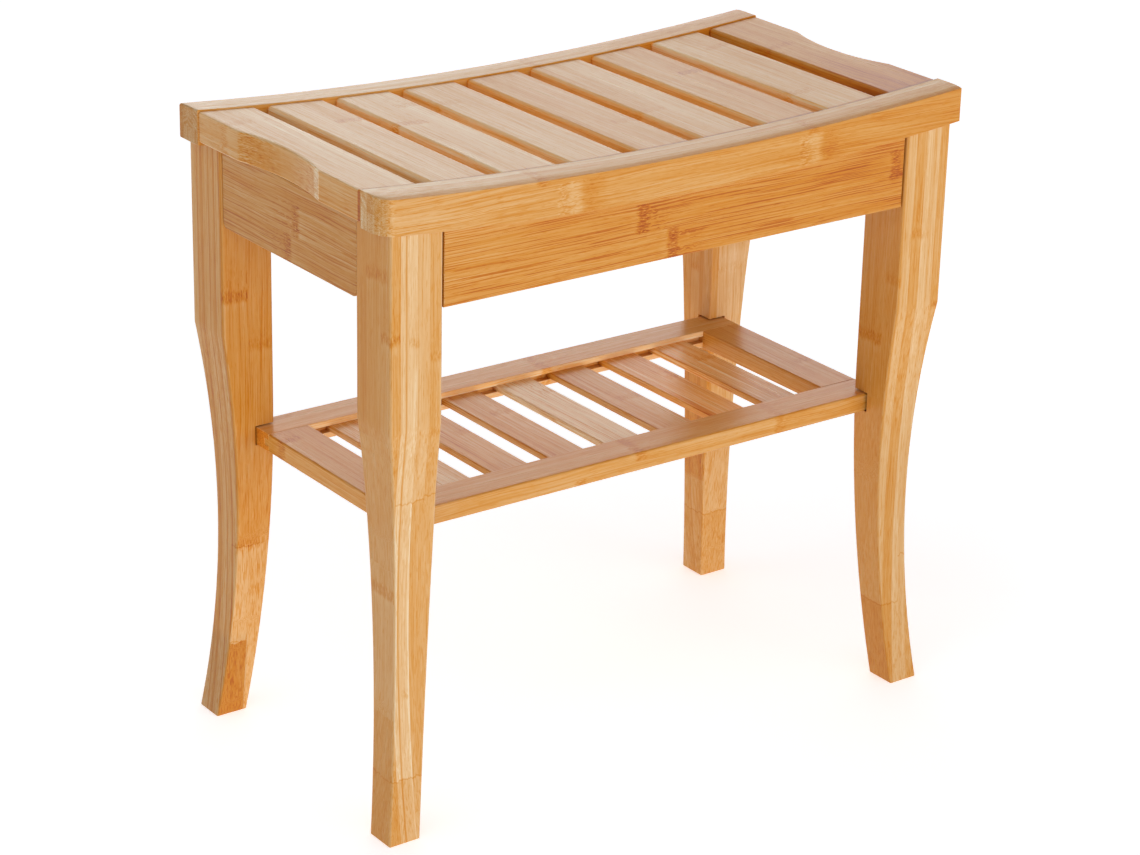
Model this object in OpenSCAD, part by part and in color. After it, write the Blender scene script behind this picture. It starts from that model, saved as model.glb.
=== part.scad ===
// Slatted entryway bench with a dished seat, four sabre legs and a slatted
// lower shelf. Laminated bamboo, knock-down: the legs bolt to the seat frame
// and the shelf is housed in notches in the legs.
// Millimetres. +Z is up, the floor is z = 0, the origin is under the middle
// of the bench, +X runs along its length and -Y is its front.

/* [Seat] */
// Length of the two seat rails, end to end
seat_len = 500; // [440:1:620]
// Depth of the seat over both rails
seat_dep = 263; // [240:1:320]
// Height of the rails' top at their ends
seat_z = 475; // [440:1:520]
// Width of a seat rail
rail_w = 26; // [24:1:30]
// Height of a seat rail at its ends
rail_h = 26; // [25:0.5:30]
// How far the rails' top dips at mid length
top_dip = 10.5; // [6:0.5:14]
// How far the rails' underside dips at mid length
under_dip = 12; // [6:0.5:14]
// Plan radius of the rounded front left corner of the seat
corner_r = 12; // [4:1:16]

/* [Seat slats] */
// Width of a seat slat
slat_w = 46.8; // [40:0.2:48]
// Thickness of the seven inner slats
slat_t = 15; // [12:0.5:16]
// Thickness of the two end slats
end_slat_t = 22; // [18:0.5:22.5]
// How far the slats lie below the top of the rails
slat_drop = 1; // [0:0.1:2]
// Radius on the long top edges of a slat
slat_r = 3; // [1:0.5:4]
// Length of the hand grip cut into each end slat
grip_len = 106; // [80:1:120]
// Depth of the hand grip
grip_dep = 7.5; // [4:0.5:10]

/* [Aprons] */
// Underside of the front and back aprons above the floor
apron_z = 391; // [380:1:394]
// Underside of the end aprons above the floor
end_apron_z = 393; // [380:1:396]
// Thickness of an apron
apron_t = 14; // [12:0.5:16]
// How far an apron lies behind the legs' outer faces
apron_set = 1.2; // [0.5:0.1:3]
// Gap between an apron's end and a leg
apron_gap = 1.5; // [0.5:0.1:2]
// Radius on the lower corners of the end aprons
apron_r = 5; // [2:0.5:8]

/* [Legs] */
// Distance from the rail's end to the leg's outer face, along the length
leg_in_x = 7.4; // [4:0.2:10]
// Distance from the rail's outer face to the leg's outer face
leg_in_y = 0.8; // [0.4:0.1:2]
// Size of the leg's top along the length
leg_wx = 41.1; // [40:0.1:44]
// Size of the leg's top along the depth
leg_wy = 42.4; // [40:0.1:44]
// Height of the knee, where the outer faces start to curve
knee_z = 310; // [300:1:320]
// Depth of the outer curve half way down from the knee
hollow = 10; // [6:0.5:12]
// How far the foot flares out past the leg's top
flare = 1.6; // [0:0.1:3]
// Height at which the inner faces start to curve outwards
inner_z = 256; // [240:1:262]
// Size of the foot, measured from the line of the leg's outer face
foot = 24.2; // [22:0.2:28]

/* [Shelf] */
// Length of the shelf
shelf_len = 432.4; // [424:0.2:440]
// Depth of the shelf
shelf_dep = 202; // [196:1:208]
// Height of the shelf's underside above the floor
shelf_z = 221.4; // [216:0.2:230]
// Thickness of the shelf's frame
shelf_t = 14; // [13:0.5:16]
// Width of the shelf's long rails
shelf_rw = 29; // [26:1:32]
// Width of the shelf's end rails
shelf_ew = 34; // [30:1:38]
// Width of a shelf slat
sslat_w = 31.5; // [26:0.5:36]
// Thickness of a shelf slat, which is the height of its groove
sslat_t = 5; // [4:0.5:6]
// Depth of the groove that holds the shelf slats
groove = 6; // [4:0.5:8]

/* [Fixings] */
// Diameter of the seat and shelf dowels
dowel_d = 6; // [5:0.5:7]
// Thickness of a corner brace
brace_t = 18; // [16:1:20]
// Height of a corner brace
brace_h = 40; // [36:1:40]
// Diameter of a leg bolt
bolt_d = 6; // [5:1:6]
// Diameter of a threaded insert
insert_d = 10; // [9:0.5:11]

/* [Hidden] */
$fn = 48;

c_face = [0.86, 0.64, 0.38];
c_top  = [0.87, 0.76, 0.62];
c_edge = [0.80, 0.56, 0.30];
c_peg  = [0.78, 0.66, 0.48];
c_steel = [0.62, 0.62, 0.63];
c_brass = [0.72, 0.60, 0.36];

hl = seat_len / 2;              // half the seat's length
hd = seat_dep / 2;              // half the seat's depth
yi = hd - rail_w;               // inner face of a seat rail
lx = hl - leg_in_x;             // outer face of a leg, along the length
ly = hd - leg_in_y;             // outer face of a leg, along the depth
lxi = lx - leg_wx;              // inner face of a leg's top, along the length
lyi = ly - leg_wy;              // inner face of a leg's top, along the depth
ay = ly - apron_set;            // outer face of the front and back aprons
ax = lx - apron_set;            // outer face of the end aprons
slats = 9;
sslats = 7;
pitch = (seat_len - slat_w) / (slats - 1);
set_back = 0.8;                 // end slats behind the rails' ends
peg_u = 13;                     // dowels either side of a slat's middle
peg_l = 12;                     // dowel length on each side of a joint

// Points on a circle's arc, from angle a to angle b
function arc(cx, cz, r, a, b, n) =
    [for (i = [0 : n]) let (t = a + (b - a) * i / n)
        [cx + r * cos(t), cz + r * sin(t)]];

// Height of the rails' top and underside at a point along the length
function top_z(x) = seat_z - top_dip * (1 - pow(x / hl, 2));
function under_z(x) = seat_z - rail_h - under_dip * (1 - pow(x / hl, 2));
// Slope of the seat, in degrees
function tilt(x) = atan(2 * top_dip * x / (hl * hl));
// Middle of seat slat i, from 1 to 9
function slat_x(i) = (i - (slats + 1) / 2) * pitch;

// Leg profile: how far its outer and inner faces lie inside the line of the
// leg's top, at height z. w is the size of the leg's top.
function outer(z) = z >= knee_z ? 0
    : let (t = z / knee_z)
        -flare * (1 - t) * (1 - 2 * t) + hollow * 4 * t * (1 - t);
function inner(z, w) = z >= inner_z ? w
    : w - (w - foot) * pow((inner_z - z) / inner_z, 2);

// ---------- seat rails ----------

n_rail = 32;
module rail_side() {
    polygon(concat(
        [for (i = [0 : n_rail]) let (x = -hl + seat_len * i / n_rail) [x, top_z(x)]],
        [for (i = [n_rail : -1 : 0]) let (x = -hl + seat_len * i / n_rail) [x, under_z(x)]]));
}

// Plan of the front rail, with its left corner rounded
module front_plan() {
    difference() {
        translate([-hl - 1, -hd]) square([seat_len + 2, rail_w]);
        difference() {
            translate([-hl - 2, -hd - 1]) square([corner_r + 2, corner_r + 1]);
            translate([-hl + corner_r, -hd + corner_r]) circle(r = corner_r, $fn = 64);
        }
    }
}

// Cylinder along Y from y0 to y1
module peg_y(x, y0, y1, z, d) {
    translate([x, y0, z]) rotate([-90, 0, 0]) cylinder(d = d, h = y1 - y0);
}

// Thickness of slat i, and the height of its dowels below its top
function thick(i) = (i == 1 || i == slats) ? end_slat_t : slat_t;
function peg_v(i) = thick(i) / 2;

// Places the children at slat i: u along the seat, top face at height 0
module at_slat(i) {
    translate([slat_x(i), 0, top_z(slat_x(i)) - slat_drop])
        rotate([0, -tilt(slat_x(i)), 0]) children();
}

// Dowels of slat i at one side of the seat, s = -1 front or 1 back
module slat_pegs(i, s) {
    at_slat(i) for (u = [-peg_u, peg_u])
        peg_y(u, s * yi - peg_l, s * yi + peg_l, -peg_v(i), dowel_d);
}

apron_peg_x = [-150, -50, 50, 150];
module apron_pegs(s) {
    for (x = apron_peg_x)
        translate([x, s * (ay - apron_t / 2), under_z(x) - peg_l])
            cylinder(d = 8, h = 2 * peg_l);
}

module seat_rail(s) {
    difference() {
        if (s < 0)
            intersection() {
                translate([0, -hd + rail_w, 0]) rotate([90, 0, 0])
                    linear_extrude(rail_w) rail_side();
                translate([0, 0, seat_z - 60]) linear_extrude(80) front_plan();
            }
        else
            translate([0, hd, 0]) rotate([90, 0, 0])
                linear_extrude(rail_w) rail_side();
        for (i = [1 : slats]) slat_pegs(i, s);
        apron_pegs(s);
    }
}
module front_seat_rail() { color(c_face) seat_rail(-1); }
module back_seat_rail()  { color(c_face) seat_rail(1); }

// ---------- seat slats ----------

// Section of an inner slat, long top edges rounded
module slat_section() {
    w = slat_w / 2;
    r = slat_r;
    b = 0.8;
    polygon(concat(
        arc(w - r, -r, r, 0, 90, 6),
        arc(-w + r, -r, r, 90, 180, 6),
        [[-w, -slat_t + b], [-w + b, -slat_t], [w - b, -slat_t], [w, -slat_t + b]]));
}

module inner_slat(i) {
    difference() {
        at_slat(i) translate([0, yi, 0]) rotate([90, 0, 0])
            linear_extrude(2 * yi) slat_section();
        slat_pegs(i, -1);
        slat_pegs(i, 1);
    }
}

// End slat on the right; the left one is its mirror image. Its outer face is
// upright, flush with the rails' ends, and carries the hand grip.
module end_slat_right() {
    w = slat_w / 2;
    r = slat_r;
    b = 0.8;
    grip_r = (pow(grip_len / 2, 2) + pow(grip_dep, 2)) / (2 * grip_dep);
    xo = hl - set_back;
    difference() {
        intersection() {
            at_slat(slats) translate([0, yi, 0]) rotate([90, 0, 0])
                linear_extrude(2 * yi)
                    polygon(concat(
                        arc(-w + r, -r, r, 90, 180, 6),
                        [[-w, -end_slat_t + b], [-w + b, -end_slat_t],
                         [w + 8, -end_slat_t], [w + 8, 0]]));
            translate([0, -yi, seat_z - 80]) cube([xo, 2 * yi, 120]);
        }
        translate([xo - grip_dep + grip_r, 0, seat_z - 80])
            cylinder(r = grip_r, h = 120, $fn = 240);
        slat_pegs(slats, -1);
        slat_pegs(slats, 1);
    }
}

module seat_slat_1() { color(c_top) mirror([1, 0, 0]) end_slat_right(); }
module seat_slat_2() { color(c_top) inner_slat(2); }
module seat_slat_3() { color(c_top) inner_slat(3); }
module seat_slat_4() { color(c_top) inner_slat(4); }
module seat_slat_5() { color(c_top) inner_slat(5); }
module seat_slat_6() { color(c_top) inner_slat(6); }
module seat_slat_7() { color(c_top) inner_slat(7); }
module seat_slat_8() { color(c_top) inner_slat(8); }
module seat_slat_9() { color(c_top) end_slat_right(); }
module seat_slat_dowels() {
    color(c_peg) for (i = [1 : slats]) { slat_pegs(i, -1); slat_pegs(i, 1); }
}

// ---------- corner braces and their fixings ----------

// All of these are drawn at the corner with positive X and Y.
bz = (apron_z + under_z(150)) / 2;      // middle height of a brace
chamfer = 6;                            // flat on the leg's inner edge
s_leg = lxi + lyi + chamfer * sqrt(2);  // x + y on that flat
s_out = s_leg - 2;                      // x + y on the brace's outer face
s_in = s_out - brace_t * sqrt(2);       // x + y on the brace's inner face
bay = ay - apron_t;                     // inner face of the long aprons
bax = ax - apron_t;                     // inner face of the end aprons
bolt_z = [bz - 10, bz + 10];
washer_t = 1.6;
insert_l = 18;
bolt_l = 40;

// Places the children on the leg's diagonal, looking outwards along +Z,
// with height 0 on the plane x + y = s
module on_diagonal(s, z) {
    translate([(s + lxi - lyi) / 2, (s - lxi + lyi) / 2, z])
        rotate([0, 0, 45]) rotate([0, 90, 0]) children();
}

// Screws: two into each long apron and two into each end apron
sx = (s_out + s_in) / 2 - bay;          // screw line on the long apron
sy = (s_out + s_in) / 2 - bax;          // screw line on the end apron
module screw() {
    cylinder(d = 4, h = 22);
    translate([0, 0, -2.4]) cylinder(d1 = 8, d2 = 4, h = 2.4);
}
module screw_hole() {
    translate([0, 0, -0.1]) cylinder(d = 4, h = 22.1);
    translate([0, 0, -2.4]) cylinder(d1 = 8, d2 = 4, h = 2.4);
    translate([0, 0, -22.4]) cylinder(d = 8, h = 20);
}
module corner_screws(hole) {
    for (z = bolt_z) {
        translate([sx, bay - 10, z]) rotate([-90, 0, 0])
            if (hole) screw_hole(); else screw();
        translate([bax - 10, sy, z]) rotate([0, 90, 0])
            if (hole) screw_hole(); else screw();
    }
}

module corner_brace() {
    difference() {
        translate([0, 0, bz - brace_h / 2]) linear_extrude(brace_h)
            polygon([[s_out - bay, bay], [s_in - bay, bay],
                     [bax, s_in - bax], [bax, s_out - bax]]);
        for (z = bolt_z) on_diagonal(s_in - 5, z)
            cylinder(d = bolt_d + 0.6, h = brace_t + 10);
        corner_screws(true);
    }
}

module corner_bolts() {
    for (z = bolt_z) on_diagonal(s_in, z) translate([0, 0, -washer_t]) {
        cylinder(d = bolt_d, h = bolt_l);
        difference() {
            translate([0, 0, -6]) cylinder(d = 10, h = 6);
            translate([0, 0, -6.1]) cylinder(d = 5.8, h = 3.1, $fn = 6);
        }
    }
}
module corner_washers() {
    for (z = bolt_z) on_diagonal(s_in, z) translate([0, 0, -washer_t])
        difference() {
            cylinder(d = 16, h = washer_t);
            translate([0, 0, -1]) cylinder(d = bolt_d, h = washer_t + 2);
        }
}
module corner_inserts() {
    for (z = bolt_z) on_diagonal(s_leg, z)
        difference() {
            cylinder(d = insert_d, h = insert_l);
            translate([0, 0, -1]) cylinder(d = bolt_d, h = insert_l + 2);
        }
}

// Repeats the children at all four corners
module at_corners() {
    children();
    mirror([1, 0, 0]) children();
    mirror([0, 1, 0]) children();
    mirror([1, 0, 0]) mirror([0, 1, 0]) children();
}

module brace_back_right()  { color(c_edge) corner_brace(); }
module brace_back_left()   { color(c_edge) mirror([1, 0, 0]) corner_brace(); }
module brace_front_right() { color(c_edge) mirror([0, 1, 0]) corner_brace(); }
module brace_front_left()  { color(c_edge) mirror([1, 0, 0]) mirror([0, 1, 0]) corner_brace(); }
module brace_screws() { color(c_steel) at_corners() corner_screws(false); }
module leg_bolts()    { color(c_steel) at_corners() corner_bolts(); }
module bolt_washers() { color(c_steel) at_corners() corner_washers(); }
module leg_inserts()  { color(c_brass) at_corners() corner_inserts(); }

// ---------- aprons ----------

module long_apron(s) {
    x1 = lxi - apron_gap;
    difference() {
        translate([0, s > 0 ? ay : -ay + apron_t, 0]) rotate([90, 0, 0])
            linear_extrude(apron_t) polygon(concat(
                [[-x1, apron_z], [x1, apron_z]],
                [for (i = [0 : 24]) let (x = x1 - 2 * x1 * i / 24) [x, under_z(x)]]));
        apron_pegs(s);
        for (m = [0, 1]) mirror([m, 0, 0])
            if (s > 0) corner_screws(true);
            else mirror([0, 1, 0]) corner_screws(true);
    }
}

module end_apron_right() {
    y1 = lyi - 1;
    r = apron_r;
    zt = under_z(ax) - 0.2;
    difference() {
        translate([ax - apron_t, 0, 0]) rotate([90, 0, 90]) linear_extrude(apron_t)
            polygon(concat(
                [[-y1, zt]],
                arc(-y1 + r, end_apron_z + r, r, 180, 270, 8),
                arc(y1 - r, end_apron_z + r, r, 270, 360, 8),
                [[y1, zt]]));
        for (m = [0, 1]) mirror([0, m, 0]) corner_screws(true);
    }
}

module front_apron() { color(c_face) long_apron(-1); }
module back_apron()  { color(c_face) long_apron(1); }
module right_apron() { color(c_face) end_apron_right(); }
module left_apron()  { color(c_face) mirror([1, 0, 0]) end_apron_right(); }
module apron_dowels() { color(c_peg) { apron_pegs(-1); apron_pegs(1); } }

// ---------- legs ----------

n_leg = 28;
// Side of a leg: the outer face follows outer(), the inner face inner()
module leg_side(edge, w) {
    h = seat_z - rail_h + 2;
    polygon(concat(
        [for (i = [0 : n_leg]) let (z = knee_z * i / n_leg) [edge - outer(z), z]],
        [[edge, h], [edge - w, h]],
        [for (i = [n_leg : -1 : 0]) let (z = inner_z * i / n_leg) [edge - inner(z, w), z]]));
}

sdx = shelf_len / 2;
sdy = shelf_dep / 2;
sm = shelf_z + shelf_t / 2;       // middle height of the shelf
speg_y = (lyi + sdy) / 2;         // dowel line in the shelf's long rails

module corner_shelf_peg() {
    translate([sdx - 10, speg_y, sm]) rotate([0, 90, 0])
        cylinder(d = dowel_d, h = 22);
}

module corner_leg() {
    difference() {
        intersection() {
            translate([0, hd + 20, 0]) rotate([90, 0, 0])
                linear_extrude(hd) leg_side(lx, leg_wx);
            translate([lx - 100, 0, 0]) rotate([90, 0, 90])
                linear_extrude(120) leg_side(ly, leg_wy);
        }
        // top, cut to the curve of the rail's underside
        translate([0, hd + 20, 0]) rotate([90, 0, 0]) linear_extrude(hd)
            polygon(concat(
                [for (i = [0 : 8]) let (x = lxi - 10 + (leg_wx + 20) * i / 8) [x, under_z(x)]],
                [[lx + 10, seat_z + 10], [lxi - 10, seat_z + 10]]));
        // flat for the brace on the leg's inner edge
        translate([0, 0, apron_z + 3]) linear_extrude(seat_z)
            polygon([[lxi - 5, lyi - 5], [s_leg - lyi + 5, lyi - 5],
                     [lxi - 5, s_leg - lxi + 5]]);
        // notch for the shelf's corner
        translate([lxi - 20, lyi - 20, shelf_z])
            cube([sdx - lxi + 20, sdy - lyi + 20, shelf_t + 0.8]);
        corner_shelf_peg();
        for (z = bolt_z) on_diagonal(s_leg - 1, z) cylinder(d = insert_d, h = insert_l + 0.71);
        for (z = bolt_z) on_diagonal(s_leg - 1, z) cylinder(d = bolt_d + 0.6, h = 24);
    }
}

module leg_back_right()  { color(c_face) corner_leg(); }
module leg_back_left()   { color(c_face) mirror([1, 0, 0]) corner_leg(); }
module leg_front_right() { color(c_face) mirror([0, 1, 0]) corner_leg(); }
module leg_front_left()  { color(c_face) mirror([1, 0, 0]) mirror([0, 1, 0]) corner_leg(); }

// ---------- shelf ----------

syi = sdy - shelf_rw;             // inner face of a long rail
sxi = sdx - shelf_ew;             // inner face of an end rail
er = 1.5;                         // radius on the frame's top edges

module shelf_long_rail() {
    difference() {
        translate([-sdx, 0, 0]) rotate([90, 0, 90]) linear_extrude(shelf_len)
            polygon(concat(
                [[syi, shelf_z], [sdy, shelf_z]],
                arc(sdy - er, shelf_z + shelf_t - er, er, 0, 90, 4),
                [[syi, shelf_z + shelf_t],
                 [syi, sm + sslat_t / 2], [syi + groove, sm + sslat_t / 2],
                 [syi + groove, sm - sslat_t / 2], [syi, sm - sslat_t / 2]]));
        corner_shelf_peg();
        mirror([1, 0, 0]) corner_shelf_peg();
    }
}

module shelf_end_rail() {
    translate([0, syi, 0]) rotate([90, 0, 0]) linear_extrude(2 * syi)
        polygon(concat(
            [[sxi, shelf_z], [sdx, shelf_z]],
            arc(sdx - er, shelf_z + shelf_t - er, er, 0, 90, 4),
            [[sxi, shelf_z + shelf_t]]));
    translate([sxi, -syi - groove, sm - sslat_t / 2])
        cube([shelf_ew, 2 * (syi + groove), sslat_t]);
}

sgap = (2 * sxi - sslats * sslat_w) / (sslats + 1);
module shelf_slat(i) {
    translate([-sxi + sgap * i + sslat_w * (i - 1), -syi - groove, sm - sslat_t / 2])
        cube([sslat_w, 2 * (syi + groove), sslat_t]);
}

module shelf_back_rail()  { color(c_face) shelf_long_rail(); }
module shelf_front_rail() { color(c_face) mirror([0, 1, 0]) shelf_long_rail(); }
module shelf_right_rail() { color(c_face) shelf_end_rail(); }
module shelf_left_rail()  { color(c_face) mirror([1, 0, 0]) shelf_end_rail(); }
module shelf_slat_1() { color(c_top) shelf_slat(1); }
module shelf_slat_2() { color(c_top) shelf_slat(2); }
module shelf_slat_3() { color(c_top) shelf_slat(3); }
module shelf_slat_4() { color(c_top) shelf_slat(4); }
module shelf_slat_5() { color(c_top) shelf_slat(5); }
module shelf_slat_6() { color(c_top) shelf_slat(6); }
module shelf_slat_7() { color(c_top) shelf_slat(7); }
module shelf_dowels() { color(c_peg) at_corners() corner_shelf_peg(); }

front_seat_rail();
back_seat_rail();
seat_slat_1();
seat_slat_2();
seat_slat_3();
seat_slat_4();
seat_slat_5();
seat_slat_6();
seat_slat_7();
seat_slat_8();
seat_slat_9();
seat_slat_dowels();
front_apron();
back_apron();
left_apron();
right_apron();
apron_dowels();
brace_front_left();
brace_front_right();
brace_back_left();
brace_back_right();
brace_screws();
leg_front_left();
leg_front_right();
leg_back_left();
leg_back_right();
leg_inserts();
leg_bolts();
bolt_washers();
shelf_front_rail();
shelf_back_rail();
shelf_left_rail();
shelf_right_rail();
shelf_slat_1();
shelf_slat_2();
shelf_slat_3();
shelf_slat_4();
shelf_slat_5();
shelf_slat_6();
shelf_slat_7();
shelf_dowels();
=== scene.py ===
import math
import bpy
from mathutils import Vector, Matrix


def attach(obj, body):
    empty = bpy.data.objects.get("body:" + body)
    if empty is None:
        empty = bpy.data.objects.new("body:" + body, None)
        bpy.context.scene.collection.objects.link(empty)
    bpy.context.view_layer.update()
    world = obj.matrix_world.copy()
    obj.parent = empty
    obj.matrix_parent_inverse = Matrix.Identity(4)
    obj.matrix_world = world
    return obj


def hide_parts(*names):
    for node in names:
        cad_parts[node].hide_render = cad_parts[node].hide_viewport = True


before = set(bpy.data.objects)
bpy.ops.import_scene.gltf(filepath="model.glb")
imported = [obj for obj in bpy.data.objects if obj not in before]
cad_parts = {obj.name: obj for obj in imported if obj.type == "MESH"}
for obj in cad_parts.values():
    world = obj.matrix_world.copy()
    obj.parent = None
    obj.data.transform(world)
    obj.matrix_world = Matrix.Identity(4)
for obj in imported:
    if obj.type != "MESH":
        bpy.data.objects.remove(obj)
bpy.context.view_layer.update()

scene = bpy.context.scene
MM = 0.001

# ---------------------------------------------------------------- sizes, mm
HL, HD = 250.0, 131.5            # half length and half depth of the seat
RW = 26.0                        # width of a seat rail
YI = HD - RW                     # inner face of a seat rail
TOP, TDIP, RH, UDIP = 475.0, 10.5, 26.0, 12.0
CR = 12.0                        # rounded front left corner of the seat
PITCH, SW, DROP = 56.65, 46.8, 1.0
ST, EST = 15.0, 22.0             # inner and end slats' thickness
GRIP_L, GRIP_D = 106.0, 7.5
LX, LY = 242.6, 130.7            # outer faces of the legs
WX, WY = 41.1, 42.4              # size of the legs' tops
LXI, LYI = LX - WX, LY - WY
KNEE, HOLLOW, FLARE, INNER, FOOT = 310.0, 10.0, 1.6, 256.0, 24.2
AZ, EAZ, AT, ASET, AGAP = 391.0, 393.0, 14.0, 1.2, 1.5
SDX, SDY, SZ, STH = 216.2, 101.0, 221.4, 14.0
SRW, SEW, SSW, SST, GROOVE = 29.0, 34.0, 31.5, 5.0, 6.0


def top_z(x):
    return TOP - TDIP * (1 - (x / HL) ** 2)


def under_z(x):
    return TOP - RH - UDIP * (1 - (x / HL) ** 2)


def outer(z):
    if z >= KNEE:
        return 0.0
    t = z / KNEE
    return -FLARE * (1 - t) * (1 - 2 * t) + HOLLOW * 4 * t * (1 - t)


def inner(z, w):
    if z >= INNER:
        return w
    return w - (w - FOOT) * ((INNER - z) / INNER) ** 2


# ---------------------------------------------------------------- node trees
class Tree:
    """Short calls for building a material's nodes."""

    def __init__(self, name):
        self.mat = bpy.data.materials.new(name)
        self.mat.use_nodes = True
        self.nt = self.mat.node_tree
        self.nt.nodes.clear()

    def put(self, socket, value):
        if isinstance(value, bpy.types.NodeSocket):
            self.nt.links.new(value, socket)
        else:
            socket.default_value = value

    def math(self, op, a, b=None, c=None, clamp=False):
        n = self.nt.nodes.new("ShaderNodeMath")
        n.operation, n.use_clamp = op, clamp
        self.put(n.inputs[0], a)
        if b is not None:
            self.put(n.inputs[1], b)
        if c is not None:
            self.put(n.inputs[2], c)
        return n.outputs[0]

    def add(self, a, b):
        return self.math("ADD", a, b)

    def sub(self, a, b):
        return self.math("SUBTRACT", a, b)

    def mul(self, a, b):
        return self.math("MULTIPLY", a, b)

    def xyz(self, x, y, z):
        n = self.nt.nodes.new("ShaderNodeCombineXYZ")
        for s, v in zip(n.inputs, (x, y, z)):
            self.put(s, v)
        return n.outputs[0]

    def noise(self, vec, scale=1.0, detail=2.0, rough=0.5):
        n = self.nt.nodes.new("ShaderNodeTexNoise")
        self.put(n.inputs["Vector"], vec)
        n.inputs["Scale"].default_value = scale
        n.inputs["Detail"].default_value = detail
        n.inputs["Roughness"].default_value = rough
        return n

    def span(self, v, a, b, lo=0.0, hi=1.0, smooth=True):
        n = self.nt.nodes.new("ShaderNodeMapRange")
        n.interpolation_type = "SMOOTHSTEP" if smooth else "LINEAR"
        self.put(n.inputs["Value"], v)
        for k, x in (("From Min", a), ("From Max", b), ("To Min", lo), ("To Max", hi)):
            n.inputs[k].default_value = x
        return n.outputs["Result"]

    def ramp(self, v, stops, color=False):
        n = self.nt.nodes.new("ShaderNodeValToRGB")
        r = n.color_ramp
        r.interpolation = "LINEAR"
        while len(r.elements) < len(stops):
            r.elements.new(0.5)
        for e, (p, c) in zip(r.elements, stops):
            e.position = min(max(p, 0.0), 1.0)
            e.color = (*c, 1) if color else (c, c, c, 1)
        self.put(n.inputs[0], v)
        return n.outputs[0]

    def bands(self, v, bands):
        """Piecewise tone across bands [(from, to, tone at from, tone at to)] in mm, with crisp steps between them."""
        lo, hi = bands[0][0], bands[-1][1]
        e = 0.12
        stops = []
        for a, b, ta, tb in bands:
            stops.append(((a + e - lo) / (hi - lo), ta))
            stops.append(((b - e - lo) / (hi - lo), tb))
        t = self.span(v, lo, hi, smooth=False)
        return self.ramp(t, stops)

    def within(self, v, lo, hi, soft=0.15):
        """1 where lo < v < hi."""
        up = self.span(v, lo - soft, lo + soft)
        down = self.span(v, hi - soft, hi + soft, 1.0, 0.0)
        return self.mul(up, down)


# Bamboo from pale to knuckle brown, by tone.
TONES = [
    (0.00, (0.820, 0.640, 0.410)),
    (0.09, (0.765, 0.510, 0.265)),
    (0.20, (0.715, 0.425, 0.182)),
    (0.40, (0.650, 0.302, 0.064)),
    (0.60, (0.595, 0.216, 0.015)),
    (0.80, (0.495, 0.128, 0.008)),
    (1.00, (0.380, 0.075, 0.004)),
]


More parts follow.
